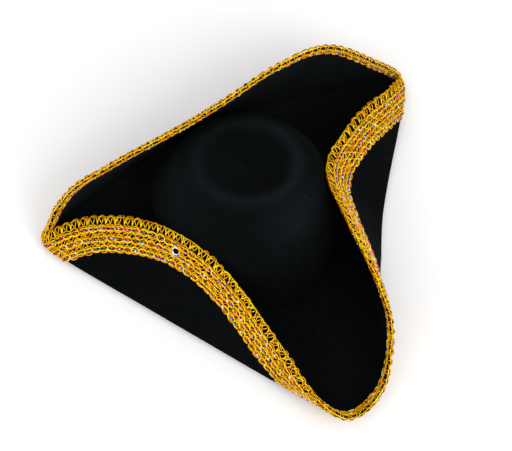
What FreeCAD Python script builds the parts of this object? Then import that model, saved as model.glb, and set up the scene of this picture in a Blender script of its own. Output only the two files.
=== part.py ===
import FreeCAD, Part
import math
import os

# A three-cornered felt hat: a blocked crown on a round brim whose edge is turned up in three flaps,
# trimmed along the edge with a wide gimp braid.
# Millimetres. The origin is the centre of the head opening, on the plane of the brim's underside.
# +Z is up, the front corner points to -Y and the wearer's left is +X.
# Directions are degrees about +Z: -90 is the front, 0 the left, 90 the back, 180 the right.

# ---- felt and head opening
FELT = 2.5                     # thickness of the crown's and the brim's felt
HEAD_HALF_WIDTH = 89.5         # head opening, half of its width
STRETCH = 1.055                # the oval's length over its width
DIRECTIONS = 144               # directions at which each closed curve is laid out
SECTORS = 4                    # faces into which each closed strip is divided

# ---- brim: (direction a flap faces, distance of its fold line, how hollow the line is; 1 is straight)
FOLD_LINES = ((-147, 135, 1.0), (-33, 136, 1.25), (90, 107, 0.68))
CORNER_RADIUS = 230            # where the fold lines round off at the corners
CORNER_FRONT = 4               # the front corner is this much longer
CORNER_LEFT = 2                # the left corner is this much longer, the right one shorter
CORNER_SHARPNESS = 14          # power of the smooth minimum between the fold lines
BEND = 16                      # felt taken up by the bend where a flap is turned up fully
FULL_TURN = 105                # from this turn-up angle on, the bend is at its shortest
BEND_GROWTH = 0.5              # a gentler turn takes this much more felt per degree
BEND_END = 8                   # the shortest bend ends this far outside its fold line
BEND_SHARE = 0.9               # share of the bend that lies inside that end
CORNER_LIFT = 2.4              # the flat brim rises this much towards the corners, above their braid
LIFT_START = 145               # distances from the centre between which it rises
LIFT_END = 190
FLAT_SHARPNESS = 12            # power of the smooth minimum that ends the truly flat part

# (direction, angle through which the brim is turned up there)
TURN_UP = (
    (-92, 44), (-86, 50), (-78, 67), (-68, 76), (-62, 81), (-50, 97), (-36, 117), (-26, 131),
    (-17, 129), (-9, 126), (2, 120), (10, 121), (18, 113), (26, 98), (35, 89), (47, 84),
    (65, 95), (85, 105), (105, 107), (125, 102), (137, 96), (145, 98), (150, 106), (156, 120),
    (163, 128), (170, 134), (177, 138), (184, 139), (195, 135), (208, 128), (222, 123), (236, 117),
    (249, 108), (256, 88), (263, 64))
# (direction, distance from the centre to the brim's edge, measured along the felt)
EDGE = (
    (-90, 240), (-80, 234), (-70, 228), (-62, 228), (-50, 232), (-30, 238), (-5, 231), (8, 229),
    (16, 229), (24, 229), (33, 229), (45, 231), (60, 232), (90, 232), (120, 231), (143, 228),
    (152, 221), (158, 218), (164, 219), (170, 225), (178, 230), (190, 233), (208, 238),
    (222, 231), (236, 220), (249, 218), (257, 226), (263, 235))

# ---- crown: half profile of its outer face (half width, height)
CROWN_PROFILE = (
    (92, FELT), (91.3, 25), (89.8, 44), (86.5, 61), (80.5, 75), (72, 85), (63, 90), (56, 93),
    (49, 96), (42, 94.5), (34, 90.5), (20, 87.5), (0, 87))

# ---- sweatband, its stitches and the label
BAND_GAP = 0.3                 # between the sweatband and the felt
BAND = 1.0                     # thickness of the sweatband
BAND_BOTTOM = 0.8
BAND_TOP = 32
STITCH_RADIUS = 0.35
STITCH_LENGTH = 4
STITCH_COUNT = 60
STITCH_HEIGHT = 4.5
TOUCH = 0.05                   # play between pieces that lie on each other
LABEL = 0.4                    # thickness of the label
LABEL_ANGLE = 22               # the label's width, as an angle about the crown
LABEL_BOTTOM = 8
LABEL_TOP = 30
LABEL_STITCH_STEP = 5          # degrees

# ---- braid
EDGE_ZONE = 8                  # width of the open threads between the edge and the first row
ROW = 9                        # width of one row of the braid
INNER_ROW = 8                  # width of the row on the brim's inner face
BRAID = 1.6                    # thickness of the braid
BRAID_GAP = 0.15               # between the braid and the felt
ROW_GAP = 0.2                  # between two rows
EDGE_FOLD = 1.2                # how far the folded braid stands out from the felt's edge
LAP_LENGTH = 12                # the braid's end, lapped over its start
LAP_REACH = 14

# ---- eyelet in the right-hand flap
EYELET_DIRECTION = -154.5
EYELET_FROM_EDGE = 16.5          # along the felt
EYELET_BORE = 3.0
EYELET_BARREL = 3.3
EYELET_FLANGE = 4.8
EYELET_RISE = 1.0              # the rolled flange stands this far off the felt
WASHER_RADIUS = 5.6
WASHER = 0.5
HOLE_PLAY = 0.2
CUT_DEPTH = 9                  # how deep the cut for the eyelet reaches, to either side of the felt's face
FLARE = 1.0                    # the eyelet's inner end is spread by this much over the washer
FLARE_HEIGHT = 0.5

# ---- thread tacks that hold each flap to the crown: (name, direction, distance below the edge)
TACKS = (("tack_right", -152, 14), ("tack_left", -28, 14), ("tack_back", 92, 36))
TACK_RADIUS = 0.6
TACK_SPREAD = 2                # degrees between the two threads of one tack


def smooth_loop(stations):
    """A smooth periodic function of direction through the given (direction, value) stations."""
    points = sorted((direction % 360, value) for direction, value in stations)
    before = (points[-1][0] - 360, points[-1][1])
    after = [(direction + 360, value) for direction, value in points[:2]]
    knots = [before] + points + after
    slopes = [0.0] * len(knots)
    for i in range(1, len(knots) - 1):
        slopes[i] = (knots[i + 1][1] - knots[i - 1][1]) / (knots[i + 1][0] - knots[i - 1][0])
    slopes[0] = slopes[len(points)]

    def value_at(direction):
        angle = direction % 360
        i = max(k for k in range(len(knots) - 1) if knots[k][0] <= angle)
        span = knots[i + 1][0] - knots[i][0]
        t = (angle - knots[i][0]) / span
        rise = (3 - 2 * t) * t * t
        start_bulge = t * (1 - t) ** 2 * span * slopes[i]
        end_bulge = t * t * (t - 1) * span * slopes[i + 1]
        return knots[i][1] + rise * (knots[i + 1][1] - knots[i][1]) + start_bulge + end_bulge

    return value_at


turn_up = smooth_loop(TURN_UP)
edge = smooth_loop(EDGE)


def cosine(degrees):
    return math.cos(math.radians(degrees))


def sine(degrees):
    return math.sin(math.radians(degrees))


def fold_radius(direction):
    """Distance of the fold line from the centre: the three lines, rounded off at the corners."""
    corner = CORNER_RADIUS + CORNER_FRONT * cosine(direction + 90) + CORNER_LEFT * cosine(direction)
    total = (1 / corner) ** CORNER_SHARPNESS
    for facing, distance, hollow in FOLD_LINES:
        along = max(cosine(direction - facing), 0)
        total += (along ** hollow / distance) ** CORNER_SHARPNESS
    return total ** (-1 / CORNER_SHARPNESS)


def bend_length(direction):
    return BEND + BEND_GROWTH * max(FULL_TURN - turn_up(direction), 0)


def bend_start(direction):
    return fold_radius(direction) + BEND_END - BEND_SHARE * bend_length(direction)


def bend_end(direction):
    return bend_start(direction) + bend_length(direction)


def bend_quarter(direction):
    return bend_start(direction) + bend_length(direction) / 4


def bend_middle(direction):
    return bend_start(direction) + bend_length(direction) / 2


def bend_three_quarters(direction):
    return bend_start(direction) + bend_length(direction) * 3 / 4


def flat_end(direction):
    """Where the truly flat part of the brim ends, inside both the bend and the rise to the corners."""
    total = bend_start(direction) ** -FLAT_SHARPNESS + LIFT_START ** -FLAT_SHARPNESS
    return total ** (-1 / FLAT_SHARPNESS)


def rise_middle(direction):
    return (flat_end(direction) + bend_start(direction)) / 2


def corner_rise(distance):
    """Height of the unfolded brim at this distance from the centre."""
    share = min(max((distance - LIFT_START) / (LIFT_END - LIFT_START), 0), 1)
    return CORNER_LIFT * (3 - 2 * share) * share * share


def fold_frame(direction):
    """Unit vectors in plan: across the fold line, pointing outwards, and along it."""
    step = 0.25
    ahead = fold_radius(direction + step)
    behind = fold_radius(direction - step)
    x = ahead * cosine(direction + step) - behind * cosine(direction - step)
    y = ahead * sine(direction + step) - behind * sine(direction - step)
    along = FreeCAD.Vector(x, y, 0).normalize()
    across = FreeCAD.Vector(along.y, -along.x, 0)
    return across, along


def felt_normal(direction, distance):
    """The felt's normal on its upper, inner side."""
    across, along = fold_frame(direction)
    bent = min(max(distance - bend_start(direction), 0), bend_length(direction))
    turned = turn_up(direction) * bent / bend_length(direction)
    return across * -sine(turned) + FreeCAD.Vector(0, 0, cosine(turned))


def felt_point(direction, distance, lift):
    """The point that a spot of the flat brim comes to when the flaps are turned up.

    distance is measured along the felt from the centre, lift from the felt's lower, outer face."""
    radial = FreeCAD.Vector(cosine(direction), sine(direction), 0)
    across, along = fold_frame(direction)
    share_across = radial.dot(across)
    share_along = radial.dot(along)
    start = bend_start(direction)
    bend = bend_length(direction)
    bent = min(max(distance - start, 0), bend)
    beyond = max(distance - start - bend, 0)
    turned = turn_up(direction) * bent / bend
    radius = bend / math.radians(turn_up(direction))
    outward = share_across * (radius * sine(turned) + beyond * cosine(turned))
    upward = share_across * (radius * (1 - cosine(turned)) + beyond * sine(turned))
    upward += corner_rise(min(distance, start))
    sideways = share_along * (bent + beyond)
    flat = radial * min(distance, start)
    raised = flat + across * outward + along * sideways + FreeCAD.Vector(0, 0, upward)
    return raised + felt_normal(direction, distance) * lift


def opening(direction):
    """Distance of the head opening's edge from the centre."""
    return HEAD_HALF_WIDTH / math.hypot(cosine(direction), sine(direction) / STRETCH)


def closed_curve(points):
    curve = Part.BSplineCurve()
    curve.interpolate(points, PeriodicFlag=True, Parameters=[float(i) for i in range(len(points) + 1)])
    return curve


def ring(distance, lift):
    """Closed curve on the felt at distance(direction), raised by lift."""
    step = 360 / DIRECTIONS
    angles = [i * step for i in range(DIRECTIONS)]
    return closed_curve([felt_point(angle, distance(angle), lift) for angle in angles])


def sector_limits(curve):
    """Parameter limits of the sectors of a closed curve or strip."""
    span = (curve.LastParameter - curve.FirstParameter) / SECTORS
    return [(i * span, (i + 1) * span) for i in range(SECTORS)]


def band(curves):
    """Faces through two closed curves, or curved ones whose middle line is the second of three."""
    rows = [curve.getPoles() for curve in curves]
    if len(rows) == 3:
        rows[1] = [m * 2 - (a + b) * 0.5 for a, m, b in zip(*rows)]
    degree = len(rows) - 1
    poles = [list(column) for column in zip(*rows)]
    faces = []
    for start, end in sector_limits(curves[0]):
        surface = Part.BSplineSurface()
        surface.buildFromPolesMultsKnots(
            poles, curves[0].getMultiplicities(), [degree + 1, degree + 1],
            curves[0].getKnots(), [0.0, 1.0], True, False, curves[0].Degree, degree)
        surface.segment(start, end, 0.0, 1.0)
        faces.append(surface.toShape())
    return faces


def sector_wire(curve):
    edges = []
    for start, end in sector_limits(curve):
        piece = curve.copy()
        piece.segment(start, end)
        edges.append(piece.toShape())
    return Part.Wire(edges)


def flat_ring(inner, outer):
    """Plane face between two closed curves."""
    return Part.makeFace([sector_wire(outer), sector_wire(inner)], "Part::FaceMakerBullseye")


def solid_of(faces):
    shell = Part.makeShell(faces)
    shell.sewShape()
    solid = Part.makeSolid(shell)
    if solid.Volume < 0:
        solid.reverse()
    return solid


def strip(distances, low, high):
    """Closed strip of the folded felt's surface between lifts low and high.

    distances are functions of direction, from the strip's inner border to its outer one."""
    faces = []
    for lift in (low, high):
        for near, far in zip(distances, distances[1:]):
            def middle(direction, near=near, far=far):
                return (near(direction) + far(direction)) / 2
            faces += band([ring(near, lift), ring(middle, lift), ring(far, lift)])
    for border in (distances[0], distances[-1]):
        faces += band([ring(border, low), ring(border, high)])
    return solid_of(faces)


def from_edge(inset):
    """Distance function of a line that runs inset from the brim's edge."""
    return lambda direction: edge(direction) - inset


def brim():
    """One felt disc with the head opening in it, flat underneath and turned up in three flaps."""
    faces = []
    for lift in (0, FELT):
        faces.append(flat_ring(ring(opening, lift), ring(flat_end, lift)))
        faces += band([ring(flat_end, lift), ring(rise_middle, lift), ring(bend_start, lift)])
        faces += band([ring(bend_start, lift), ring(bend_quarter, lift), ring(bend_middle, lift)])
        faces += band([ring(bend_middle, lift), ring(bend_three_quarters, lift), ring(bend_end, lift)])
        faces += band([ring(bend_end, lift), ring(edge, lift)])
    for border in (opening, edge):
        faces += band([ring(border, 0), ring(border, FELT)])
    return solid_of(faces)


def oval(shape):
    """The shape stretched front to back, from round to the head's oval."""
    matrix = FreeCAD.Matrix()
    matrix.scale(1, STRETCH, 1)
    return shape.transformGeometry(matrix)


def crown():
    """Blocked felt dome of even thickness, open below, with a ring and a dent pressed in its top."""
    outer_points = [FreeCAD.Vector(x, 0, z) for x, z in CROWN_PROFILE]
    outer = Part.BSplineCurve()
    outer.interpolate(outer_points)
    inner_points = []
    for point in outer_points:
        tangent = outer.tangent(outer.parameter(point))[0]
        inner_points.append(point + FreeCAD.Vector(-tangent.z, 0, tangent.x) * FELT)
    inner_points[0] = FreeCAD.Vector(HEAD_HALF_WIDTH, 0, FELT)
    inner_points[-1] = FreeCAD.Vector(0, 0, CROWN_PROFILE[-1][1] - FELT)
    inner = Part.BSplineCurve()
    inner.interpolate(inner_points)
    edges = [outer.toShape(), Part.makeLine(outer_points[-1], inner_points[-1]),
             inner.toShape(), Part.makeLine(inner_points[0], outer_points[0])]
    profile = Part.Face(Part.Wire(Part.__sortEdges__(edges)))
    return oval(profile.revolve(FreeCAD.Vector(0, 0, 0), FreeCAD.Vector(0, 0, 1), 360))


def tube(outer_radius, wall, bottom, top, middle=0, angle=360):
    """Upright tube wall, or the part of one that spans angle about the direction middle."""
    up = FreeCAD.Vector(0, 0, 1)
    foot = FreeCAD.Vector(0, 0, bottom)
    outer = Part.makeCylinder(outer_radius, top - bottom, foot, up, angle)
    wall_piece = outer.cut(Part.makeCylinder(outer_radius - wall, top - bottom, foot, up))
    wall_piece.rotate(FreeCAD.Vector(0, 0, 0), up, middle - angle / 2)
    return oval(wall_piece)


def band_outer():
    return HEAD_HALF_WIDTH - BAND_GAP


def sweatband():
    return tube(band_outer(), BAND, BAND_BOTTOM, BAND_TOP)


def stitch(radius, direction, height):
    """One straight stitch that lies round the inside of the oval wall of the given half width."""
    across = FreeCAD.Vector(radius * cosine(direction), STRETCH * radius * sine(direction), height)
    along = FreeCAD.Vector(-radius * sine(direction), STRETCH * radius * cosine(direction), 0).normalize()
    return Part.makeCylinder(STITCH_RADIUS, STITCH_LENGTH, across - along * (STITCH_LENGTH / 2), along)


def stitch_line(wall_radius):
    """Half width of the oval on which a line of stitches lies, inside a wall of that half width."""
    sagitta = STITCH_LENGTH ** 2 / (8 * wall_radius)
    return wall_radius - STITCH_RADIUS - TOUCH - sagitta


def sweatband_stitches():
    radius = stitch_line(band_outer() - BAND)
    step = 360 / STITCH_COUNT
    return Part.makeCompound([stitch(radius, i * step, STITCH_HEIGHT) for i in range(STITCH_COUNT)])


def care_label():
    return tube(band_outer() - BAND - TOUCH, LABEL, LABEL_BOTTOM, LABEL_TOP, 90, LABEL_ANGLE)


def label_stitches():
    radius = stitch_line(band_outer() - BAND - TOUCH - LABEL)
    half = LABEL_ANGLE / 2 - LABEL_STITCH_STEP / 2
    count = int(2 * half / LABEL_STITCH_STEP) + 1
    height = LABEL_TOP - 2
    return Part.makeCompound([
        stitch(radius, 90 + (i - (count - 1) / 2) * LABEL_STITCH_STEP, height) for i in range(count)])


def outer_row(number):
    """Row of looped cords on the brim's outer face, counted from the edge."""
    outer_inset = EDGE_ZONE + number * ROW + ROW_GAP
    inner_inset = EDGE_ZONE + (number + 1) * ROW
    lines = [from_edge(inner_inset), from_edge((inner_inset + outer_inset) / 2), from_edge(outer_inset)]
    return strip(lines, -BRAID_GAP - BRAID, -BRAID_GAP)


def edge_threads():
    """Threads that run from the first row over the edge, on the brim's outer face."""
    return strip([from_edge(EDGE_ZONE), from_edge(0)], -BRAID_GAP - BRAID, -BRAID_GAP)


def inner_row():
    """The braid's row on the brim's inner face."""
    lines = [from_edge(INNER_ROW), from_edge(0)]
    return strip(lines, FELT + BRAID_GAP, FELT + BRAID_GAP + BRAID)


def edge_fold():
    """The fold of the braid round the brim's edge."""
    lines = [from_edge(-BRAID_GAP), from_edge(-EDGE_FOLD)]
    return strip(lines, -BRAID_GAP - BRAID, FELT + BRAID_GAP + BRAID)


def lapped_end():
    """The braid's cut end, lapped over its start at the front corner."""
    top = -BRAID_GAP - BRAID - TOUCH
    lap = strip([from_edge(LAP_REACH), from_edge(-EDGE_FOLD)], top - BRAID, top)
    tip = felt_point(-90, edge(-90), 0)
    corner = FreeCAD.Vector(tip.x, tip.y - 2 * LAP_REACH, -LAP_REACH)
    return lap.common(Part.makeBox(LAP_LENGTH, 4 * LAP_REACH, 4 * LAP_REACH, corner))


def eyelet_place():
    """Centre of the eyelet on the felt's outer face, and the direction it faces."""
    distance = edge(EYELET_DIRECTION) - EYELET_FROM_EDGE
    return felt_point(EYELET_DIRECTION, distance, 0), felt_normal(EYELET_DIRECTION, distance) * -1


def on_flap(shape):
    """Puts a shape made about +Z, with the felt from -FELT to 0, at the eyelet's place."""
    centre, facing = eyelet_place()
    turn = FreeCAD.Rotation(FreeCAD.Vector(0, 0, 1), facing)
    shape.Placement = FreeCAD.Placement(centre, turn)
    return shape


def turned(points_and_arcs):
    """Solid turned about +Z from a closed profile of lines and three-point arcs."""
    edges = []
    for item in points_and_arcs:
        points = [FreeCAD.Vector(x, 0, z) for x, z in item]
        curve = Part.makeLine(*points) if len(points) == 2 else Part.Arc(*points).toShape()
        edges.append(curve)
    profile = Part.Face(Part.Wire(edges))
    return profile.revolve(FreeCAD.Vector(0, 0, 0), FreeCAD.Vector(0, 0, 1), 360)


def eyelet():
    """Barrel with a rolled flange outside and a flared end that grips the washer inside."""
    grip = -FELT - WASHER - 2 * TOUCH
    end = grip - FLARE_HEIGHT
    flare = EYELET_BARREL + FLARE
    return on_flap(turned([
        ((EYELET_BORE, end + FLARE_HEIGHT / 2), (EYELET_BORE, EYELET_RISE / 3)),
        ((EYELET_BORE, EYELET_RISE / 3), ((EYELET_BORE + EYELET_FLANGE) / 2, EYELET_RISE),
         (EYELET_FLANGE, EYELET_RISE / 3)),
        ((EYELET_FLANGE, EYELET_RISE / 3), (EYELET_FLANGE, TOUCH)),
        ((EYELET_FLANGE, TOUCH), (EYELET_BARREL, TOUCH)),
        ((EYELET_BARREL, TOUCH), (EYELET_BARREL, grip)),
        ((EYELET_BARREL, grip), (flare, grip)),
        ((flare, grip), (flare, grip - FLARE_HEIGHT / 3)),
        ((flare, grip - FLARE_HEIGHT / 3), (EYELET_BARREL + FLARE / 3, end),
         (EYELET_BORE, end + FLARE_HEIGHT / 2))]))


def eyelet_washer():
    bottom = -FELT - WASHER - TOUCH
    inner = EYELET_BARREL + TOUCH
    outer = WASHER_RADIUS
    return on_flap(turned([
        ((inner, bottom), (inner, bottom + WASHER)), ((inner, bottom + WASHER), (outer, bottom + WASHER)),
        ((outer, bottom + WASHER), (outer, bottom)), ((outer, bottom), (inner, bottom))]))


def eyelet_clearance(radius):
    """Cylinder that clears the eyelet out of the felt or the braid."""
    foot = FreeCAD.Vector(0, 0, -CUT_DEPTH)
    return on_flap(Part.makeCylinder(radius, 2 * CUT_DEPTH, foot))


def tack(crown_shape, direction, below_edge):
    """Two short threads from a flap's inner face to the crown."""
    threads = []
    for side in (-TACK_SPREAD / 2, TACK_SPREAD / 2):
        spot = felt_point(direction + side, edge(direction + side) - below_edge, FELT)
        gap, pairs, _ = crown_shape.distToShape(Part.Vertex(spot))
        nearest = pairs[0][0]
        threads.append(Part.makeCylinder(TACK_RADIUS, gap, nearest, (spot - nearest).normalize()))
        print("tack", direction, "gap", round(gap, 2))
    return Part.makeCompound(threads)


os.makedirs("parts", exist_ok=True)
crown_shape = crown()
hole = eyelet_clearance(EYELET_BARREL + HOLE_PLAY)
ring_clearance = eyelet_clearance(WASHER_RADIUS + HOLE_PLAY)
pieces = {
    "crown": crown_shape,
    "brim": brim().cut(hole),
    "sweatband": sweatband(),
    "sweatband_stitches": sweatband_stitches(),
    "care_label": care_label(),
    "label_stitches": label_stitches(),
    "braid_edge_threads": edge_threads(),
    "braid_edge_row": outer_row(0).cut(ring_clearance),
    "braid_middle_row": outer_row(1).cut(ring_clearance),
    "braid_lower_row": outer_row(2).cut(ring_clearance),
    "braid_inner_row": inner_row(),
    "braid_edge_fold": edge_fold(),
    "braid_lapped_end": lapped_end(),
    "eyelet": eyelet(),
    "eyelet_washer": eyelet_washer(),
}
for name, direction, below_edge in TACKS:
    pieces[name] = tack(crown_shape, direction, below_edge)

for name, shape in pieces.items():
    box = shape.BoundBox
    print(name, "solids", len(shape.Solids), "valid", shape.isValid(), "volume", round(shape.Volume),
          "z", round(box.ZMin, 2), round(box.ZMax, 2))
    shape.exportStep("parts/" + name + ".step")
place, facing = eyelet_place()
print("eyelet", place, facing)
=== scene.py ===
import math

import bmesh
import bpy
import numpy as np
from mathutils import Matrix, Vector


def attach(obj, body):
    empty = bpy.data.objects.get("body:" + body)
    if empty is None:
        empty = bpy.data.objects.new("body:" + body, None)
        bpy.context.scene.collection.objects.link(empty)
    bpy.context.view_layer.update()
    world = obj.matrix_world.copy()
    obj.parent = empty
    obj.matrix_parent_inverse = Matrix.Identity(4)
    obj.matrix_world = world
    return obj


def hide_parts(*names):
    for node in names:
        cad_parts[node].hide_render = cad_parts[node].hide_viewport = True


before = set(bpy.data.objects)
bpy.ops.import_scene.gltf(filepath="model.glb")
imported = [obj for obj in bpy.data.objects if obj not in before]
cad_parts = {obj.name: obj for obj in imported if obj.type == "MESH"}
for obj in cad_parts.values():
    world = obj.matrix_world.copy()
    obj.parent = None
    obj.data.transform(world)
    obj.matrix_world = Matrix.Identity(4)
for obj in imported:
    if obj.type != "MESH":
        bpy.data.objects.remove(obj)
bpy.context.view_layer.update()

# The hat's looks, laid round the CAD frame. The shape functions below work in millimetres, in the
# same frame and with the same fold as the CAD brim, and millimetre arrays become metres in mesh().
# The camera, the lights and the floor are in metres.
# Directions are degrees about +Z: -90 is the front corner, 0 the wearer's left, 90 the back.

MM = 0.001
random = np.random.default_rng(7)

# ---- felt, as in the CAD source
FELT = 2.5                     # its thickness
HEAD_HALF_WIDTH = 89.5
STRETCH = 1.055                # the head opening and the crown are this much longer than wide
FOLD_LINES = ((-147, 135, 1.0), (-33, 136, 1.25), (90, 107, 0.68))  # facing, distance, hollow
CORNER_RADIUS = 230
CORNER_FRONT = 4
CORNER_LEFT = 2
CORNER_SHARPNESS = 14
BEND = 16                      # length of felt that is bent under a flap turned up fully
FULL_TURN = 105                # degrees from which a flap counts as turned up fully
BEND_GROWTH = 0.5              # mm that the bend is longer for each degree less
BEND_END = 8                   # the bend starts this far past the fold line,
BEND_SHARE = 0.9               # less this share of its own length
CORNER_LIFT = 2.4              # how much higher the flat felt lies at the corners
LIFT_START = 145               # distances from the centre between which it rises
LIFT_END = 190
FOLD_STEP = 0.25               # degrees to each side, to find which way the fold line runs
SAMPLES = 3600                 # directions at which the fold is tabulated

# (direction, degrees that the flap is turned up)
TURN_UP = (
    (-92, 44), (-86, 50), (-78, 67), (-68, 76), (-62, 81), (-50, 97), (-36, 117), (-26, 131),
    (-17, 129), (-9, 126), (2, 120), (10, 121), (18, 113), (26, 98), (35, 89), (47, 84),
    (65, 95), (85, 105), (105, 107), (125, 102), (137, 96), (145, 98), (150, 106), (156, 120),
    (163, 128), (170, 134), (177, 138), (184, 139), (195, 135), (208, 128), (222, 123), (236, 117),
    (249, 108), (256, 88), (263, 64))

# (direction, distance of the disc's edge along the felt)
EDGE = (
    (-90, 240), (-80, 234), (-70, 228), (-62, 228), (-50, 232), (-30, 238), (-5, 231), (8, 229),
    (16, 229), (24, 229), (33, 229), (45, 231), (60, 232), (90, 232), (120, 231), (143, 228),
    (152, 221), (158, 218), (164, 219), (170, 225), (178, 230), (190, 233), (208, 238),
    (222, 231), (236, 220), (249, 218), (257, 226), (263, 235))

# ---- crown
# (radius, height) of its outer face
CROWN_PROFILE = (
    (94.5, 2.4), (92.6, 4.5), (92, 9), (91.3, 25), (89.8, 44), (86.5, 61), (80.5, 75), (72, 85),
    (63, 90), (56, 93), (49, 96), (42, 94.5), (34, 90.5), (20, 87.5), (0, 87))
RING_SHIFT = (10, 22)          # the pressed ring lies this far from the crown's middle
RING_AXIS = (0.446, 0.895)     # and is shorter this way
RING_FLATTEN = 0.18            # by this share
RING_HEIGHTS = (60, 93)        # the shift grows over these heights
RING_RADII = (60, 84)          # and fades over these radii
BULGE = 7                      # the crown's side bulges outwards by this much
BULGE_DIRECTION = 153
BULGE_WIDTH = 45               # degrees
BULGE_HEIGHT = 70
BULGE_SPREAD = 30              # mm up and down
BULGE_FULL = 80                # radius from which the bulge is full

# ---- painted light: where the felt's colour is made lighter to paint in sheen and highlights
HIGHLIGHT_RING_RADIUS = 50
HIGHLIGHT_SHOULDER_RADIUS = 68
HIGHLIGHT_BREADTH = 8                # of the painted highlights on the ring and on the shoulder
FLAP_PAINTED_LIGHT = 1.5                 # painted light on the inner face of the back flap
FLAP_PAINTED_LIGHT_DIRECTION = 115
FLAP_PAINTED_LIGHT_WIDTH = 85

# ---- braid
PITCH = 9.4                    # one scallop of a row
ROW_CENTRES = (9.4, 19.8, 30.2)
INNER_CENTRE = 4.0
BRAID_LINE = 17                # its length is measured along the felt this far from the edge
WAVE = 4.2                     # how far a row's outer strand swings from its middle
INNER_SHARE = 0.85             # and this share of it in the row on the inner face
STRAND = 0.62                  # radius of a row's cords
THREAD = 0.36                  # radius of the linking threads
BEAD = 1.35                    # radius
BEAD_HEIGHT = 1.9              # of a bead's middle above the felt
WRAP = math.pi * FELT / 2      # path round the felt's edge
CROSSING = 0.42                # cords pass this far over or under their mean height
LOOP_ROUNDNESS = 0.85          # 1 makes a sine wave, less makes fuller loops
LOOP_LEAN = 0.13               # the loops' sides bend inwards by this share of a scallop
LOOP_DRIFT = 0.25              # how far a row wanders off its path
LOOP_UNEVENNESS = 0.16         # how much its loops differ, as a share of their swing
PLACE_UNEVENNESS = 0.05        # how far a cord is off its place along the braid, in scallops
BEAD_DRIFT = 0.6               # how far a bead is off its row's middle
ARCH_ROUNDNESS = 0.7
ARCH_LEAN = 0.12
ARCH_SLANT = 0.2               # the arches' tops stand this share of a scallop further on
ZIGZAG_SHARPNESS = 0.95        # 1 makes a thread turn in a point

# ---- the braid's end, lapped over its start at the front corner
LAP_DIRECTION = -87.5
LAP_REACH = 0.8                # scallops to each side
LAP_CORDS = 11
LAP_POINTS = 24
LAP_HEIGHT = 1.9

# ---- eyelet
EYELET_DIRECTION = -154.5
EYELET_FROM_EDGE = 16.5
FLANGE_CLEARANCE = 5.7         # cords pass this far from its middle

# ---- inside of the hat
BAND_LOW = 0.8                 # heights of the sweatband's edges
BAND_HIGH = 32
BAND_THICK = 1.0
BAND_GAP = 0.3                 # between the crown and the sweatband
BAND_RIPPLE = 0.25             # how far its free edge waves
LABEL_LOW = 8
LABEL_HIGH = 30
LABEL_THICK = 0.4
LABEL_GAP = 0.25
LABEL_HALF_WIDTH = 11          # degrees
STATION_STEP = 1.17            # mm between the label's stations, and nearly so on the band
STITCH = 4.0                   # length of a hand stitch
STITCH_THREAD = 0.35           # radius
BAND_STITCHES = 60
BAND_STITCH_HEIGHT = 4.5
LABEL_STITCH_HEIGHT = 28

# ---- tacks: name, direction, distance below the flap's edge
TACKS = (("tack_right", -152, 14), ("tack_left", -28, 14), ("tack_back", 92, 36))
TACK_THREAD = 0.34             # radius
TACK_TWIST = 0.32              # from the twisted pair's axis to a thread's middle
TACK_TURN = 6                  # radians that the pair twists on its way
TACK_OVERRUN = 0.12            # the threads go on by this share into the felt at both ends
TACK_KNOT = 0.9

# ---- camera, in metres and degrees
TARGET = Vector((-0.001, -0.021, 0.030))
VIEW_FROM, VIEW_HEIGHT, VIEW_DISTANCE = -26.5, 70.0, 1.6
LENS, SENSOR = 112.5, 36

# ---- studio, in metres and watts
KEY_LIGHT = ((0.5, -1.3, 1.5), 14, 1.1)    # place, power, size
FILL_LIGHT = ((-1.5, -0.3, 1.2), 5, 1.2)
FLOOR_HALF = 4.0
FLOOR_DROP = 0.0007            # keeps the floor clear of the felt's lower face


# ================================================================ fold of the brim
def as_arrays(*values):
    """The values as float arrays of one shape."""
    return np.broadcast_arrays(*(np.asarray(value, float) for value in values))


def on_circle(direction, radius=1.0):
    """Plan points at a direction and a radius."""
    radians = np.radians(direction)
    return np.stack([radius * np.cos(radians), radius * np.sin(radians)], -1)


def smooth_loop(stations, angles):
    """Values at the angles of a smooth periodic function through (direction, value) stations."""
    points = sorted((direction % 360, value) for direction, value in stations)
    points = [(points[-1][0] - 360, points[-1][1])] + points
    points += [(direction + 360, value) for direction, value in points[1:3]]
    x, y = np.array(points, float).T
    slope = np.zeros(len(x))
    slope[1:-1] = (y[2:] - y[:-2]) / (x[2:] - x[:-2])
    slope[0] = slope[len(stations)]
    i = np.searchsorted(x, angles, side="right") - 1
    span = x[i + 1] - x[i]
    t = (angles - x[i]) / span
    bulge = t * (1 - t) ** 2 * span * slope[i] + t * t * (t - 1) * span * slope[i + 1]
    return y[i] + (3 - 2 * t) * t * t * (y[i + 1] - y[i]) + bulge


def fold_radius(angles):
    """Distance of the fold: the three lines, blended into a circle at the corners."""
    radians = np.radians(angles)
    corner = (CORNER_RADIUS + CORNER_FRONT * np.cos(radians + math.pi / 2)
              + CORNER_LEFT * np.cos(radians))
    total = (1 / corner) ** CORNER_SHARPNESS
    for facing, distance, hollow in FOLD_LINES:
        along = np.maximum(np.cos(np.radians(angles - facing)), 0)
        total += (along ** hollow / distance) ** CORNER_SHARPNESS
    return total ** (-1 / CORNER_SHARPNESS)


table_angles = np.arange(SAMPLES + 1) * 360 / SAMPLES
turn_table = smooth_loop(TURN_UP, table_angles % 360)
edge_table = smooth_loop(EDGE, table_angles % 360)
fold_table = fold_radius(table_angles)


def looked_up(table, direction):
    """The tabulated value at a direction."""
    return np.interp(np.mod(direction, 360), table_angles, table)


def unit(vectors):
    return vectors / np.maximum(np.linalg.norm(vectors, axis=-1, keepdims=True), 1e-9)


def edge(direction):
    """Distance of the disc's edge along the felt."""
    return looked_up(edge_table, direction)


def bend_length(direction):
    """How much of the felt is bent: more where the flap is turned up less."""
    return BEND + BEND_GROWTH * np.maximum(FULL_TURN - looked_up(turn_table, direction), 0)


def bend_start(direction):
    return looked_up(fold_table, direction) + BEND_END - BEND_SHARE * bend_length(direction)


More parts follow.
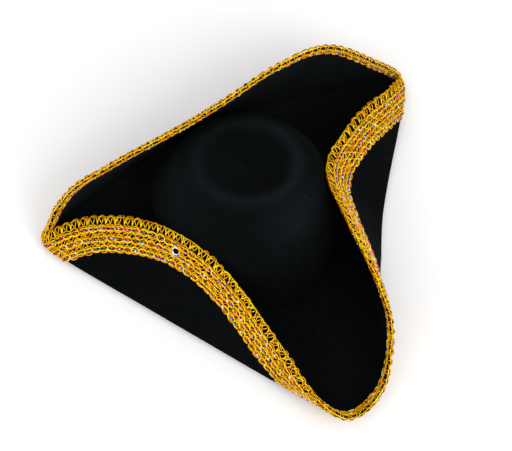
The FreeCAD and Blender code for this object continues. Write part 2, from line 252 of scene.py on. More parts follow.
def smooth_step(value, low, high):
    """0 up to low, 1 from high on, and a smooth rise between them."""
    share = np.clip((value - low) / (high - low), 0, 1)
    return share * share * (3 - 2 * share)


def felt(direction, distance, lift):
    """Points of the folded felt: distance along it from the centre, lift from its outer face."""
    direction, distance, lift = as_arrays(direction, distance, lift)
    radial = on_circle(direction)
    before, after = (on_circle(angle, looked_up(fold_table, angle))
                     for angle in (direction - FOLD_STEP, direction + FOLD_STEP))
    along = unit(after - before)
    across = np.stack([along[..., 1], -along[..., 0]], -1)
    share_across = (radial * across).sum(-1)
    share_along = (radial * along).sum(-1)
    start, bend = bend_start(direction), bend_length(direction)
    turn = np.radians(looked_up(turn_table, direction))
    bent = np.clip(distance - start, 0, bend)
    beyond = np.maximum(distance - start - bend, 0)
    turned = turn * bent / bend
    radius = bend / turn
    outward = (share_across * (radius * np.sin(turned) + beyond * np.cos(turned))
               - lift * np.sin(turned))
    upward = (share_across * (radius * (1 - np.cos(turned)) + beyond * np.sin(turned))
              + lift * np.cos(turned))
    upward += CORNER_LIFT * smooth_step(np.minimum(distance, start), LIFT_START, LIFT_END)
    sideways = share_along * (bent + beyond)
    flat = radial * np.minimum(distance, start)[..., None]
    plan = flat + across * outward[..., None] + along * sideways[..., None]
    return np.concatenate([plan, upward[..., None]], -1)


# ================================================================ meshes
STRAND_UV = "strand"           # mm along a cord, and 0 to 1 round it


def with_painted_light(piece, painted_lightness):
    """Gives each vertex its painted light, a lighter colour for painted sheen and highlights, which
    felt_material() reads.
    """
    layer = piece.data.attributes.new("painted_light", "FLOAT", "POINT")
    layer.data.foreach_set("value", painted_lightness)
    return piece


def mesh(name, points, faces, uvs=None, smooth=True):
    """A mesh object from points in millimetres, with its faces' sides set outwards."""
    data = bpy.data.meshes.new(name)
    data.from_pydata((np.asarray(points) * MM).tolist(), [], [list(f) for f in faces])
    if uvs is not None:
        layer = data.uv_layers.new(name=STRAND_UV)
        layer.data.foreach_set("uv", np.asarray(uvs, np.float32).ravel())
    work = bmesh.new()
    work.from_mesh(data)
    bmesh.ops.recalc_face_normals(work, faces=work.faces)
    work.to_mesh(data)
    work.free()
    data.polygons.foreach_set("use_smooth", [smooth] * len(data.polygons))
    made = bpy.data.objects.new(name, data)
    bpy.context.scene.collection.objects.link(made)
    return made


class Bundle:
    """Collects tubes and beads into the arrays of one mesh."""

    def __init__(self):
        self.points, self.faces, self.uvs, self.count = [], [], [], 0

    def add(self, points, faces, uvs):
        self.points.append(points)
        self.faces.append([tuple(i + self.count for i in f) for f in faces])
        self.uvs.append(uvs)
        self.count += len(points)

    def tube(self, line, normals, radius, sides=6, closed=True):
        """A round cord along line. The normals say which way is off the felt."""
        count = len(line)
        if closed:
            tangent = unit(np.roll(line, -1, 0) - np.roll(line, 1, 0))
        else:
            tangent = unit(np.gradient(line, axis=0))
        side = unit(np.cross(tangent, normals))
        up = np.cross(side, tangent)
        turn = np.arange(sides) * 2 * math.pi / sides
        ring = (np.cos(turn)[None, :, None] * up[:, None]
                + np.sin(turn)[None, :, None] * side[:, None])
        points = (line[:, None] + ring * radius).reshape(-1, 3)
        length = np.concatenate([[0], np.cumsum(np.linalg.norm(np.diff(line, axis=0), axis=1))])
        length = np.append(length, length[-1] + (length[-1] - length[-2]))
        faces, uvs = [], []
        for i in range(count if closed else count - 1):
            j = (i + 1) % count
            u0, u1 = length[i], length[i + 1]
            for k in range(sides):
                m = (k + 1) % sides
                faces.append((i * sides + k, j * sides + k, j * sides + m, i * sides + m))
                v0, v1 = k / sides, (k + 1) / sides
                uvs += [(u0, v0), (u1, v0), (u1, v1), (u0, v1)]
        if not closed:
            for start in (0, (count - 1) * sides):
                faces.append(tuple(range(start, start + sides)))
                uvs += [(0, 0)] * sides
        self.add(points, faces, uvs)

    def beads(self, places, normals, radius, flatness=0.6):
        """Small faceted beads, each turned its own way."""
        shape = bmesh.new()
        bmesh.ops.create_icosphere(shape, subdivisions=1, radius=1)
        ball = np.array([v.co for v in shape.verts])
        faces = [tuple(v.index for v in f.verts) for f in shape.faces]
        shape.free()
        for place, normal in zip(places, normals):
            spin = random.uniform(0, 2 * math.pi)
            helper = unit(np.cross(normal, (0.3, 0.2, 0.9)))
            other = np.cross(normal, helper)
            first = helper * math.cos(spin) + other * math.sin(spin)
            second = np.cross(normal, first)
            size = radius * random.uniform(0.8, 1.2)
            local = ball * (size, size * random.uniform(0.7, 1), size * flatness)
            points = place + local[:, :1] * first + local[:, 1:2] * second + local[:, 2:] * normal
            self.add(points, faces, [(place[0], 0)] * (3 * len(faces)))

    def made(self, name, smooth=True):
        faces = [f for group in self.faces for f in group]
        uvs = [uv for group in self.uvs for uv in group]
        return mesh(name, np.concatenate(self.points), faces, uvs, smooth)


# ================================================================ braid's own coordinates
line_points = felt(table_angles, edge_table - BRAID_LINE, 0)
line_steps = np.linalg.norm(np.diff(line_points, axis=0), axis=1)
line_length = np.concatenate([[0], np.cumsum(line_steps)])
SCALLOPS = 2 * round(line_length[-1] / PITCH / 2)


def braid_point(along, path, height):
    """A point on the braid: along in scallops, path in mm from the felt's edge down its outer face.

    A negative path goes round the edge and then down the inner face. height is above the felt.
    """
    along, path, height = as_arrays(along, path, height)
    share = np.mod(along / SCALLOPS, 1)
    direction = np.interp(share * line_length[-1], line_length, table_angles)
    round_edge = np.clip(-path / WRAP, 0, 1) * math.pi
    reach = FELT / 2 + height
    out = np.maximum(path, 0) + np.maximum(-path - WRAP, 0)
    distance = edge(direction) - out + reach * np.sin(round_edge)
    lift = FELT / 2 - reach * np.cos(round_edge)
    return felt(direction, distance, lift)


def braid_normal(along, path, height):
    return unit(braid_point(along, path, height + 0.5) - braid_point(along, path, height))


def place_along(direction):
    """How many scallops the braid has up to a direction."""
    return np.interp(direction % 360, table_angles, line_length) / line_length[-1] * SCALLOPS


EYELET_ALONG = place_along(EYELET_DIRECTION)


def round_eyelet(along, path, height):
    """Bends a cord's line round the eyelet's flange."""
    away_u = (np.mod(along - EYELET_ALONG + SCALLOPS / 2, SCALLOPS) - SCALLOPS / 2) * PITCH
    away_v = path - EYELET_FROM_EDGE
    away = np.hypot(away_u, away_v)
    push = np.where(away < FLANGE_CLEARANCE, FLANGE_CLEARANCE / np.maximum(away, 0.3), 1)
    return along + away_u * (push - 1) / PITCH, path + away_v * (push - 1), height


def wobble(count, size, knots):
    """A smooth periodic random line of count values."""
    values = random.normal(0, size, knots)
    places = np.arange(count) * knots / count
    return np.interp(places, np.arange(knots + 1), np.append(values, values[0]))


def cord(bundle, along, path, height, radius, sides=6, closed=True):
    """Adds a cord that follows a line in the braid's own coordinates, bent round the eyelet."""
    along, path, height = round_eyelet(along, path, height)
    line = braid_point(along, path, height)
    bundle.tube(line, braid_normal(along, path, height), radius, sides, closed)


def loops(name, centre, wave, radius, height, shift, steps=16):
    """Two cords that swing across each other in round scallops, one over and one under in turn."""
    bundle = Bundle()
    count = SCALLOPS * steps
    along = np.arange(count) / steps
    phase = (along + shift) * math.pi
    drift = wobble(count, LOOP_DRIFT, SCALLOPS // 3)
    for sign in (1, -1):
        swing = np.sign(np.sin(phase)) * np.abs(np.sin(phase)) ** LOOP_ROUNDNESS
        uneven = 1 + wobble(count, LOOP_UNEVENNESS, SCALLOPS)
        path = centre + drift + sign * wave * swing * uneven
        place = (along - LOOP_LEAN * np.sin(2 * phase)
                 + wobble(count, PLACE_UNEVENNESS, SCALLOPS))
        level = height + sign * CROSSING * np.cos(phase)
        cord(bundle, place, path, level, radius)
    return bundle.made(name)


def row(prefix, centre, wave, node):
    """A row of the braid: wide loops, narrower bright loops on them, small ones between, beads."""
    for ending, share, thickness, height, shift, look, replaced in (
            ("_loops", 1.0, 1.0, 1.0, 0.0, gold, [node]),
            ("_bright_loops", 0.60, 0.85, 1.2, 0.0, bright_gold, []),
            ("_heart_loops", 0.36, 0.75, 1.0, 0.5, gold, [])):
        piece = loops(prefix + ending, centre, wave * share, STRAND * thickness, height, shift)
        finish_piece(piece, look, "braid", *replaced)
    beads = Bundle()
    count = 2 * SCALLOPS
    place = random.permutation(count) / 2 + random.normal(0, 0.06, count)
    path = centre + random.normal(0, BEAD_DRIFT, count)
    place, path, level = round_eyelet(place, path, np.full(count, BEAD_HEIGHT))
    beads.beads(braid_point(place, path, level), braid_normal(place, path, level), BEAD)
    finish_piece(beads.made(prefix + "_beads", smooth=False), bead_look, "braid")


def zigzag(bundle, near, far, height, radius, shift, steps=12):
    """One thread that runs to and fro between two paths."""
    count = SCALLOPS * steps
    along = np.arange(count) / steps
    phase = (along + shift) * 2 * math.pi
    swing = np.arcsin(ZIGZAG_SHARPNESS * np.sin(phase)) / math.asin(ZIGZAG_SHARPNESS)
    path = (near + far) / 2 + (far - near) / 2 * swing + wobble(count, 0.2, SCALLOPS)
    place = along + wobble(count, PLACE_UNEVENNESS, SCALLOPS)
    cord(bundle, place, path, height + 0.15 * np.cos(phase), radius, 5)


def arcade(bundle, foot, height, stand, radius, steps=16):
    """A cord in round arches that stand on the first row and reach over the felt's edge.

    height is above the felt at their feet, and their tops are higher by stand.
    """
    count = SCALLOPS * steps
    along = np.arange(count) / steps
    swing = np.abs(np.sin(along * math.pi)) ** ARCH_ROUNDNESS
    swing = np.minimum(swing * (1 + wobble(count, 0.1, SCALLOPS)), 1.05)
    path = foot + (-WRAP / 2 - foot) * swing
    place = (along - ARCH_LEAN * np.sin(along * 2 * math.pi) + ARCH_SLANT * swing
             + wobble(count, 0.06, SCALLOPS))
    cord(bundle, place, path, height + stand * swing ** 2, radius)


# ================================================================ materials
def material(name):
    made = bpy.data.materials.new(name)
    made.use_nodes = True
    nodes = made.node_tree.nodes
    return made, nodes, made.node_tree.links, nodes["Principled BSDF"]


def noise(nodes, links, scale, detail):
    place = nodes.new("ShaderNodeTexCoord")
    made = nodes.new("ShaderNodeTexNoise")
    made.inputs["Scale"].default_value = scale
    made.inputs["Detail"].default_value = detail
    links.new(place.outputs["Object"], made.inputs["Vector"])
    return made


def ramp(nodes, links, factor, stops, constant=False):
    made = nodes.new("ShaderNodeValToRGB")
    if constant:
        made.color_ramp.interpolation = "CONSTANT"
    elements = made.color_ramp.elements
    while len(elements) < len(stops):
        elements.new(0.5)
    for element, (position, colour) in zip(elements, stops):
        element.position = position
        element.color = (*colour, 1)
    links.new(factor, made.inputs["Fac"])
    return made


def bump(nodes, links, shader, height, strength, distance):
    made = nodes.new("ShaderNodeBump")
    made.inputs["Strength"].default_value = strength
    made.inputs["Distance"].default_value = distance
    links.new(height, made.inputs["Height"])
    links.new(made.outputs["Normal"], shader.inputs["Normal"])


def added(nodes, links, first, second, share=1.0):
    """The first colour plus a share of the second. Each is a value or another node's output."""
    made = nodes.new("ShaderNodeMix")
    made.data_type = "RGBA"
    made.blend_type = "ADD"
    made.clamp_factor = False
    for entry, value in (("Factor", share), ("A", first), ("B", second)):
        if isinstance(value, (float, tuple)):
            made.inputs[entry].default_value = value
        else:
            links.new(value, made.inputs[entry])
    return made.outputs["Result"]


def calculated(nodes, links, operation, *terms):
    """The result of a math node. A term is a number or another node's output."""
    made = nodes.new("ShaderNodeMath")
    made.operation = operation
    for socket, term in zip(made.inputs, terms):
        if isinstance(term, float):
            socket.default_value = term
        else:
            links.new(term, socket)
    return made.outputs["Value"]


def felt_material():
    """Black felt. The painted light attribute adds a lighter colour where sheen and highlights are
    painted in.
    """
    made, nodes, links, shader = material("black_felt")
    mottle = noise(nodes, links, 90, 4)
    lint = noise(nodes, links, 300, 2)
    dark = ramp(nodes, links, mottle.outputs["Fac"],
                [(0.3, (0.0016, 0.0021, 0.0024)), (0.7, (0.0024, 0.0031, 0.0035))])
    specks = ramp(nodes, links, lint.outputs["Fac"],
                  [(0.75, (0, 0, 0)), (0.82, (0.02, 0.022, 0.023))])
    speckled = added(nodes, links, dark.outputs["Color"], specks.outputs["Color"])
    painted_lightness = nodes.new("ShaderNodeAttribute")
    painted_lightness.attribute_name = "painted_light"
    # painted sheen and highlights: a lighter colour added in the measure of the painted light
    # attribute
    lighter = added(nodes, links, speckled, (0.0036, 0.0047, 0.0051, 1), painted_lightness.outputs["Fac"])
    links.new(lighter, shader.inputs["Base Color"])
    shader.inputs["Roughness"].default_value = 0.95
    shader.inputs["Specular IOR Level"].default_value = 0.02
    shader.inputs["Sheen Weight"].default_value = 0.004
    shader.inputs["Sheen Roughness"].default_value = 0.4
    fibre = noise(nodes, links, 700, 4)
    bump(nodes, links, shader, fibre.outputs["Fac"], 0.5, 0.0006)
    return made


def strand_place(nodes, links):
    """Outputs for a point's place on a cord: mm along it, and 0 to 1 round it."""
    place = nodes.new("ShaderNodeUVMap")
    place.uv_map = STRAND_UV
    parts = nodes.new("ShaderNodeSeparateXYZ")
    links.new(place.outputs["UV"], parts.inputs["Vector"])
    return parts.outputs["X"], parts.outputs["Y"]


def swell(nodes, links, operation, turns):
    """A wave from 0 to 1, once for each turn; operation is SINE or COSINE."""
    angle = calculated(nodes, links, "MULTIPLY", turns, 2 * math.pi)
    wave = calculated(nodes, links, operation, angle)
    return calculated(nodes, links, "MULTIPLY_ADD", wave, 0.5, 0.5)


def twist(nodes, links, pitch):
    """Stripes that wind round a cord, one each pitch mm."""
    along, about = strand_place(nodes, links)
    turns = calculated(nodes, links, "MULTIPLY_ADD", along, 1 / pitch, about)
    return swell(nodes, links, "SINE", turns)


def painted_side_light(nodes, links):
    """1 on the side of a cord away from the felt, 0 on the side towards it; it places painted light
    and painted shade on the cords.
    """
    about = strand_place(nodes, links)[1]
    return swell(nodes, links, "COSINE", about)


def gold_material(name, bright, deep, shade):
    """Gimp cord: wound foil, with a painted highlight on top and painted red-brown shade on the
    flanks.
    """
    made, nodes, links, shader = material(name)
    stripe = twist(nodes, links, 1.4)
    # painted light and shade: the side away from the felt is coloured lighter, the flanks darker
    top = painted_side_light(nodes, links)
    patches = noise(nodes, links, 220, 2)
    striped = calculated(nodes, links, "MULTIPLY_ADD", stripe, 0.22, top)
    patched = calculated(nodes, links, "MULTIPLY_ADD", patches.outputs["Fac"], 1.1, striped)
    place = calculated(nodes, links, "MULTIPLY", patched, 0.56)
    # painted shade at the low stops, painted highlight at the bright stop
    colour = ramp(nodes, links, place, [(0.55, shade), (0.77, deep), (0.97, bright)])
    links.new(colour.outputs["Color"], shader.inputs["Base Color"])
    shader.inputs["Metallic"].default_value = 0.25
    shader.inputs["Roughness"].default_value = 0.36
    shader.inputs["Specular IOR Level"].default_value = 0.3
    shader.inputs["Specular Tint"].default_value = (1, 0.8, 0.2, 1)
    bump(nodes, links, shader, stripe, 0.6, 0.0003)
    return made


def bead_material():
    """Each bead has one of ten colours."""
    made, nodes, links, shader = material("iridescent_beads")
    island = nodes.new("ShaderNodeNewGeometry")
    colours = ((0.7, 0.62, 0.7), (0.5, 0.0, 0.3), (0.01, 0.01, 0.16), (0.8, 0.12, 0.55),
               (0.0, 0.2, 0.12), (0.05, 0.12, 0.6), (0.35, 0.0, 0.03), (0.35, 0.55, 0.8),
               (0.16, 0.0, 0.35), (0.01, 0.01, 0.015))
    stops = [(i / len(colours), colour) for i, colour in enumerate(colours)]
    colour = ramp(nodes, links, island.outputs["Random Per Island"], stops, constant=True)
    links.new(colour.outputs["Color"], shader.inputs["Base Color"])
    shader.inputs["Metallic"].default_value = 0.1
    shader.inputs["Roughness"].default_value = 0.3
    shader.inputs["Specular IOR Level"].default_value = 0.35
    return made


def nickel_material():
    made, nodes, links, shader = material("bright_nickel")
    marks = noise(nodes, links, 900, 3)
    colour = ramp(nodes, links, marks.outputs["Fac"],
                  [(0.35, (0.55, 0.56, 0.58)), (0.6, (0.85, 0.86, 0.88))])
    links.new(colour.outputs["Color"], shader.inputs["Base Color"])
    shader.inputs["Metallic"].default_value = 1
    shader.inputs["Roughness"].default_value = 0.16
    bump(nodes, links, shader, marks.outputs["Fac"], 0.15, 0.0002)
    return made


def ribbon_material():
    """Black grosgrain: fine upright ribs round the band."""
    made, nodes, links, shader = material("black_grosgrain")
    stripe = twist(nodes, links, 0.9)
    colour = ramp(nodes, links, stripe, [(0.2, (0.006, 0.006, 0.007)), (0.8, (0.02, 0.02, 0.022))])
    links.new(colour.outputs["Color"], shader.inputs["Base Color"])
    shader.inputs["Roughness"].default_value = 0.55
    shader.inputs["Sheen Weight"].default_value = 0.1
    bump(nodes, links, shader, stripe, 0.7, 0.0004)
    return made


def thread_material():
    made, nodes, links, shader = material("black_thread")
    stripe = twist(nodes, links, 0.7)
    colour = ramp(nodes, links, stripe, [(0.2, (0.002, 0.002, 0.003)), (0.8, (0.009, 0.009, 0.01))])
    links.new(colour.outputs["Color"], shader.inputs["Base Color"])
    shader.inputs["Roughness"].default_value = 0.8
    shader.inputs["Specular IOR Level"].default_value = 0.15
    bump(nodes, links, shader, stripe, 0.6, 0.0003)
    return made


def label_material():
    made, nodes, links, shader = material("blank_satin_label")
    stripe = twist(nodes, links, 0.4)
    colour = ramp(nodes, links, stripe, [(0.2, (0.62, 0.6, 0.55)), (0.8, (0.8, 0.78, 0.73))])
    links.new(colour.outputs["Color"], shader.inputs["Base Color"])
    shader.inputs["Roughness"].default_value = 0.42
    bump(nodes, links, shader, stripe, 0.3, 0.0002)
    return made


def floor_material():
    """Pale and matt, and clear from below, so that the underneath of the hat can be looked at."""
    made, nodes, links, shader = material("pale_floor")
    under = nodes.new("ShaderNodeNewGeometry")
    clear = nodes.new("ShaderNodeBsdfTransparent")
    either = nodes.new("ShaderNodeMixShader")
    links.new(under.outputs["Backfacing"], either.inputs["Fac"])
    links.new(shader.outputs["BSDF"], either.inputs[1])
    links.new(clear.outputs["BSDF"], either.inputs[2])
    links.new(either.outputs["Shader"], nodes["Material Output"].inputs["Surface"])
    soft = noise(nodes, links, 3, 2)
    colour = ramp(nodes, links, soft.outputs["Fac"],
                  [(0.3, (0.86, 0.86, 0.86)), (0.7, (0.88, 0.88, 0.88))])
    links.new(colour.outputs["Color"], shader.inputs["Base Color"])
    shader.inputs["Roughness"].default_value = 0.9
    shader.inputs["Specular IOR Level"].default_value = 0.1
    return made


def finish_piece(piece, look, slot, *nodes):
    """Gives a piece its look and its body, and says which CAD nodes it replaces."""
    piece.data.materials.clear()
    piece.data.materials.append(look)
    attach(piece, "root")
    if nodes:
        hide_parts(*nodes)


# ================================================================ felt body
def grid_faces(rows, columns, close_rows):
    """Quads of a grid whose columns close round the object; the rows close too if asked."""
    faces = []
    for i in range(rows if close_rows else rows - 1):
        j = (i + 1) % rows
        for k in range(columns):
            m = (k + 1) % columns
            faces.append((i * columns + k, i * columns + m, j * columns + m, j * columns + k))
    return faces


def opening(direction):
    """Distance of the head opening's edge."""
    radians = np.radians(direction)
    return HEAD_HALF_WIDTH / np.hypot(np.cos(radians), np.sin(radians) / STRETCH)


def brim():
    """The folded disc of felt, as a closed sheet with a rounded edge."""
    angles = np.arange(0, 360, 0.75)
    start, length = bend_start(angles), bend_length(angles)
    flat = [opening(angles) + (start - opening(angles)) * t for t in np.linspace(0, 1, 9)]
    bend = [start + length * t for t in np.linspace(0, 1, 11)[1:]]
    beyond = edge(angles) - start - length - FELT / 2
    upper = [start + length + beyond * t for t in np.linspace(0, 1, 13)[1:]]
    lines = flat + bend + upper
    rows = [felt(angles, line, 0) for line in lines]
    for turn in np.linspace(0, math.pi, 7)[1:-1]:
        out = edge(angles) - FELT / 2 + FELT / 2 * math.sin(turn)
        rows.append(felt(angles, out, FELT / 2 * (1 - math.cos(turn))))
    outer_rows = len(rows)
    for line in reversed(lines):
        rows.append(felt(angles, line, FELT))
    made = mesh("brim_felt", np.concatenate(rows), grid_faces(len(rows), len(angles), True))
    painted_lightness = np.zeros((len(rows), len(angles)), np.float32)
    # painted light: the inner face of the back flap is coloured lighter
    painted_lightness[outer_rows:] = FLAP_PAINTED_LIGHT * gauss(apart(np.radians(angles), FLAP_PAINTED_LIGHT_DIRECTION),
                                           FLAP_PAINTED_LIGHT_WIDTH)
    return with_painted_light(made, painted_lightness.ravel())


def spline(points, count):
    """A smooth line through points, by Catmull-Rom spans. It meets the axis at a right angle."""
    p = np.array(points, float)
    p = np.vstack([2 * p[0] - p[1], p, [-p[-2][0], p[-2][1]]])
    out = []
    for i in range(1, len(p) - 2):
        for t in np.linspace(0, 1, count, endpoint=False):
            a, b, c, d = p[i - 1:i + 3]
            out.append(0.5 * (2 * b + (c - a) * t + (2 * a - 5 * b + 4 * c - d) * t * t
                              + (3 * b - a - 3 * c + d) * t ** 3))
    out.append(p[-2])
    return np.array(out)


def gauss(value, width):
    return np.exp(-(value / width) ** 2)


def apart(angles, direction):
    """Degrees between angles, in radians, and a direction."""
    return (np.degrees(angles) - direction + 180) % 360 - 180


def painted_light(angles, radius, height):
    """Painted sheen in the felt's colour: a painted highlight on the ring and on the shoulder, and
    fainter painted light on the side and the top.
    """
    round_ring = 0.8 + 0.2 * np.cos(np.radians(apart(angles, -40)))
    ring = gauss(radius - HIGHLIGHT_RING_RADIUS, HIGHLIGHT_BREADTH) * round_ring
    # the shoulder's painted highlight is strongest towards -72 and fainter towards 150
    shoulder_light = 0.95 * gauss(apart(angles, -72), 30) + 0.3 * gauss(apart(angles, 150), 55)
    shoulder = (gauss(radius - HIGHLIGHT_SHOULDER_RADIUS, HIGHLIGHT_BREADTH) * shoulder_light
                * smooth_step(height, 70, 86))
    side = 0.2 * smooth_step(height, 20, 80) * gauss(apart(angles, 165), 60)
    top = 0.03 * smooth_step(height, 70, 85)
    return 0.9 * ring * smooth_step(height, 86, 92) + shoulder + side + top


def crown():
    """The blocked felt dome, with the pressed ring a little off its middle."""
    outer = spline(CROWN_PROFILE, 5)
    tangent = unit(np.gradient(outer, axis=0))
    inner = outer + np.stack([-tangent[:, 1], tangent[:, 0]], -1) * FELT
    inner[:, 0] = np.maximum(inner[:, 0], 0)
    inner[:, 1] = np.maximum(inner[:, 1], CROWN_PROFILE[0][1])
    profile = np.vstack([outer[:-1], inner[::-1][1:]])
    angles = np.radians(np.arange(0, 360, 1.5))
    top = len(outer) - 1
    rows, painted_lightness = [], []
    bulge_round = gauss(apart(angles, BULGE_DIRECTION), BULGE_WIDTH)
    for radius, height in profile:
        share = (float(smooth_step(height, *RING_HEIGHTS))
                 * float(1 - smooth_step(radius, *RING_RADII)))
        bulge = (BULGE * gauss(height - BULGE_HEIGHT, BULGE_SPREAD) * bulge_round
                 * min(radius / BULGE_FULL, 1) ** 4)
        x = (radius + bulge) * np.cos(angles)
        y = (radius + bulge) * STRETCH * np.sin(angles)
        flatten = (x * RING_AXIS[0] + y * RING_AXIS[1]) * RING_FLATTEN * share
        x = x - flatten * RING_AXIS[0] + RING_SHIFT[0] * share
        y = y - flatten * RING_AXIS[1] + RING_SHIFT[1] * share
        rows.append(np.stack([x, y, np.full_like(x, height)], -1))
        # painted highlights on the ring and the shoulder, kept per vertex
        painted_lightness.append(painted_light(angles, radius, height))
    count = len(angles)
    points = np.concatenate(rows)
    faces = grid_faces(top, count, False)
    faces += [tuple(i + top * count for i in f) for f in grid_faces(len(rows) - top, count, False)]
    last = (len(rows) - 1) * count
    faces += [(k, (k + 1) % count, last + (k + 1) % count, last + k) for k in range(count)]
    outer_tip, inner_tip = len(points), len(points) + 1
    tips = [(*RING_SHIFT, outer[-1][1]), (*RING_SHIFT, outer[-1][1] - FELT)]
    points = np.vstack([points, tips])
    for start, tip in (((top - 1) * count, outer_tip), (top * count, inner_tip)):
        faces += [(start + k, start + (k + 1) % count, tip) for k in range(count)]
    made = mesh("crown_felt", points, faces)
    return with_painted_light(made, np.append(np.concatenate(painted_lightness), (0, 0)).astype(np.float32))


# ================================================================ inside of the hat
def band_line(angles, inward):
    """The head opening's oval, drawn in by inward."""
    half = HEAD_HALF_WIDTH - inward
    return half * np.cos(angles), half * STRETCH * np.sin(angles)


def upright_strip(name, inward, thick, low, high, angles, closed, ripple=0.0):
    """A thin upright strip that follows the opening's oval, with rounded long edges."""
    heights = np.linspace(low, high, 9)
    across = [(h, 0.0) for h in heights] + [(h, thick) for h in heights[::-1]]
    wave = ripple * np.sin(angles * 9) + ripple * 0.6 * np.sin(angles * 17 + 1)
    rows, uvs = [], []
    for height, depth in across:
        share = (height - low) / (high - low)
        x, y = band_line(angles, inward + depth + wave * share * share)
        rows.append(np.stack([x, y, np.full_like(x, height)], -1))
    count, total = len(angles), len(rows)
    columns = count if closed else count - 1
    faces = []
    for i in range(total):
        j = (i + 1) % total
        for k in range(columns):
            m = (k + 1) % count
            faces.append((i * count + k, i * count + m, j * count + m, j * count + k))
            u0, u1 = k * STATION_STEP, (k + 1) * STATION_STEP
            uvs += [(u0, 0), (u1, 0), (u1, 0), (u0, 0)]
    if not closed:
        for k in (0, count - 1):
            faces.append(tuple(i * count + k for i in range(total)))
            uvs += [(0, 0)] * total
    return mesh(name, np.concatenate(rows), faces, uvs)


def stitch_row(name, inward, height, angles):
    """Hand stitches: each a short thread that dips into the cloth at both ends."""
    bundle = Bundle()
    reach = STITCH / 2 / HEAD_HALF_WIDTH
    spread = np.linspace(-reach, reach, 7)
    dip = 0.5 * (spread / reach) ** 4
    for angle in angles:
        x, y = band_line(angle + spread, inward - dip + STITCH_THREAD * 0.7)
        line = np.stack([x, y, height + 0.5 * spread / reach], -1)
        normal = np.stack([-x, -y, np.zeros_like(x)], -1)
        bundle.tube(line, unit(normal), STITCH_THREAD, closed=False)
    return bundle.made(name)


# ================================================================ tacks
def tack(name, direction, below_edge, crown_piece):
    """Two pairs of twisted threads from a flap to the crown, each with a small knot on the flap."""
    bundle = Bundle()
    for side in (-1, 1):
        spot = felt(direction + side, edge(direction + side) - below_edge, FELT)
        found, nearest, _, _ = crown_piece.closest_point_on_mesh(Vector(spot * MM))
        if not found:
            raise RuntimeError("the crown isn't near the tack " + name)
        end = np.array(nearest) / MM
        for phase in (0, math.pi):
            share = np.linspace(-TACK_OVERRUN, 1 + TACK_OVERRUN, 15)
            line = spot + (end - spot) * share[:, None]
            axis = unit(end - spot)
            first = unit(np.cross(axis, (0, 0, 1)))
            second = np.cross(axis, first)
            turn = share * TACK_TURN + phase
            round_axis = first * np.cos(turn)[:, None] + second * np.sin(turn)[:, None]
            line = line + TACK_TWIST * round_axis
            bundle.tube(line, np.broadcast_to(first, line.shape), TACK_THREAD, closed=False)
    spots = [felt(direction + side, edge(direction + side) - below_edge, FELT + 0.2)
             for side in (-1, 1)]
    bundle.beads(spots, [np.array([0.0, 0.0, 1.0])] * 2, TACK_KNOT, flatness=0.9)
    return bundle.made(name + "_thread")


# ================================================================ camera and light
def aimed(name, data, place, towards):
    """An object at a place, turned to look towards a direction."""
    made = bpy.data.objects.new(name, data)
    made.location = place
    made.rotation_mode = "QUATERNION"
    made.rotation_quaternion = towards.to_track_quat("-Z", "Y")
    bpy.context.scene.collection.objects.link(made)
    return made


def camera():
    azimuth, elevation = math.radians(VIEW_FROM), math.radians(VIEW_HEIGHT)
    back = Vector((math.sin(azimuth) * math.cos(elevation),
                   -math.cos(azimuth) * math.cos(elevation), math.sin(elevation)))
    data = bpy.data.cameras.new("camera")
    data.lens, data.sensor_width = LENS, SENSOR
    bpy.context.scene.camera = aimed("camera", data, TARGET + back * VIEW_DISTANCE, -back)


def area_light(name, place, power, size):
    data = bpy.data.lights.new(name, "AREA")
    data.energy, data.size = power, size
    aimed(name, data, place, TARGET - Vector(place))


def studio():
    """White surroundings, two soft lights and the floor."""
    world = bpy.data.worlds.new("studio")
    world.use_nodes = True
    world.node_tree.nodes["Background"].inputs["Color"].default_value = (1, 1, 1, 1)
    world.node_tree.nodes["Background"].inputs["Strength"].default_value = 1.0
    bpy.context.scene.world = world
    area_light("key", *KEY_LIGHT)
    area_light("fill", *FILL_LIGHT)
    bpy.context.scene.view_settings.view_transform = "Standard"
    corners = [(x * FLOOR_HALF, y * FLOOR_HALF, -FLOOR_DROP)
               for x, y in ((-1, -1), (1, -1), (1, 1), (-1, 1))]
    floor = mesh("floor", np.array(corners) / MM, [(0, 1, 2, 3)])
    floor.data.materials.append(floor_material())


# ================================================================ the hat
camera()
studio()

felt_look = felt_material()
gold = gold_material("gold_cord", (1.0, 0.52, 0.0), (0.70, 0.17, 0.0), (0.09, 0.008, 0.0))
bright_gold = gold_material("bright_gold_cord", (1.0, 0.92, 0.01), (1.0, 0.48, 0.0),
                            (0.18, 0.03, 0.0))
bead_look = bead_material()
thread_look = thread_material()

crown_piece = crown()
finish_piece(crown_piece, felt_look, "felt", "crown")
brim_piece = brim()
finish_piece(brim_piece, felt_look, "felt", "brim")

for name, centre in zip(("edge", "middle", "lower"), ROW_CENTRES):
    row("braid_" + name, centre, WAVE, "braid_" + name + "_row")
row("braid_inner", -WRAP - INNER_CENTRE, WAVE * INNER_SHARE, "braid_inner_row")

edge_arches = Bundle()
arcade(edge_arches, foot=5.8, height=0.7, stand=1.3, radius=STRAND * 0.9)
finish_piece(edge_arches.made("braid_edge_arches"), gold, "braid", "braid_edge_threads")
bright_arches = Bundle()
arcade(bright_arches, foot=5.6, height=1.2, stand=-0.2, radius=STRAND * 0.7)
finish_piece(bright_arches.made("braid_edge_bright_arches"), bright_gold, "braid")

over_edge = Bundle()
zigzag(over_edge, near=4.5, far=-WRAP - 2.5, height=0.6, radius=THREAD, shift=0.25)
along_edge = np.arange(SCALLOPS * 8) / 8
edge_path = -WRAP / 2 + wobble(len(along_edge), 0.3, SCALLOPS)
cord(over_edge, along_edge, edge_path, height=0.5, radius=THREAD * 1.3)
finish_piece(over_edge.made("braid_threads_over_edge"), bright_gold, "braid", "braid_edge_fold")

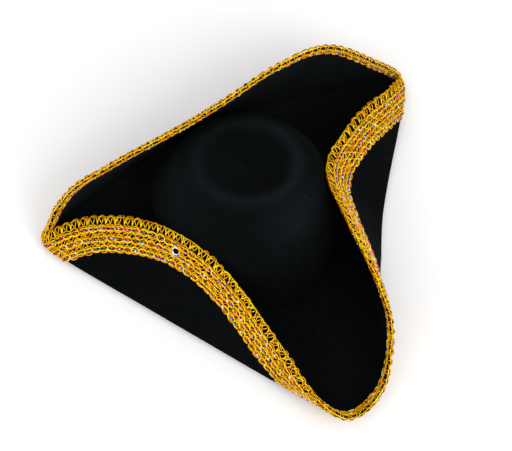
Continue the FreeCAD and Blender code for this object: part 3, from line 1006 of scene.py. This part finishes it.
linking = Bundle()
for centre in (sum(ROW_CENTRES[:2]) / 2, sum(ROW_CENTRES[1:]) / 2):
    zigzag(linking, centre - 2.4, centre + 2.4, height=1.0, radius=THREAD * 0.9, shift=0.5)
finish_piece(linking.made("braid_linking_threads"), bright_gold, "braid")

# ---- the braid's cut end, lapped over its start at the front corner
lap = Bundle()
lap_along = place_along(LAP_DIRECTION) + np.linspace(-LAP_REACH, LAP_REACH, LAP_POINTS)
for path in np.linspace(-WRAP - 5.5, 12, LAP_CORDS):
    drift = 0.8 * np.sin(np.linspace(0, 5, LAP_POINTS) + path)
    cord(lap, lap_along, path + drift, LAP_HEIGHT, THREAD * 1.25, sides=5, closed=False)
finish_piece(lap.made("braid_lapped_cords"), gold, "braid", "braid_lapped_end")

# ---- inside
full_turn = np.linspace(0, 2 * math.pi, 480, endpoint=False)
band = upright_strip("sweatband_ribbon", BAND_GAP, BAND_THICK, BAND_LOW, BAND_HIGH, full_turn,
                     closed=True, ripple=BAND_RIPPLE)
finish_piece(band, ribbon_material(), "sweatband", "sweatband")
stitches = stitch_row("sweatband_hand_stitches", BAND_GAP + BAND_THICK, BAND_STITCH_HEIGHT,
                      np.arange(BAND_STITCHES) * 2 * math.pi / BAND_STITCHES)
finish_piece(stitches, thread_look, "black_thread", "sweatband_stitches")
label_outside = BAND_GAP + BAND_THICK + LABEL_GAP
label_turn = math.pi / 2 + np.radians(np.linspace(-LABEL_HALF_WIDTH, LABEL_HALF_WIDTH, 30))
label = upright_strip("blank_label", label_outside, LABEL_THICK, LABEL_LOW, LABEL_HIGH, label_turn,
                      closed=False)
finish_piece(label, label_material(), "label", "care_label")
label_stitches = stitch_row("label_hand_stitches", label_outside + LABEL_THICK,
                            LABEL_STITCH_HEIGHT,
                            math.pi / 2 + np.radians((-7.5, -2.5, 2.5, 7.5)))
finish_piece(label_stitches, thread_look, "black_thread", "label_stitches")

for name, direction, below_edge in TACKS:
    finish_piece(tack(name, direction, below_edge, crown_piece), thread_look, "black_thread", name)

nickel = nickel_material()
for name in ("eyelet", "eyelet_washer"):
    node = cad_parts[name]
    node.data.materials.clear()
    node.data.materials.append(nickel)
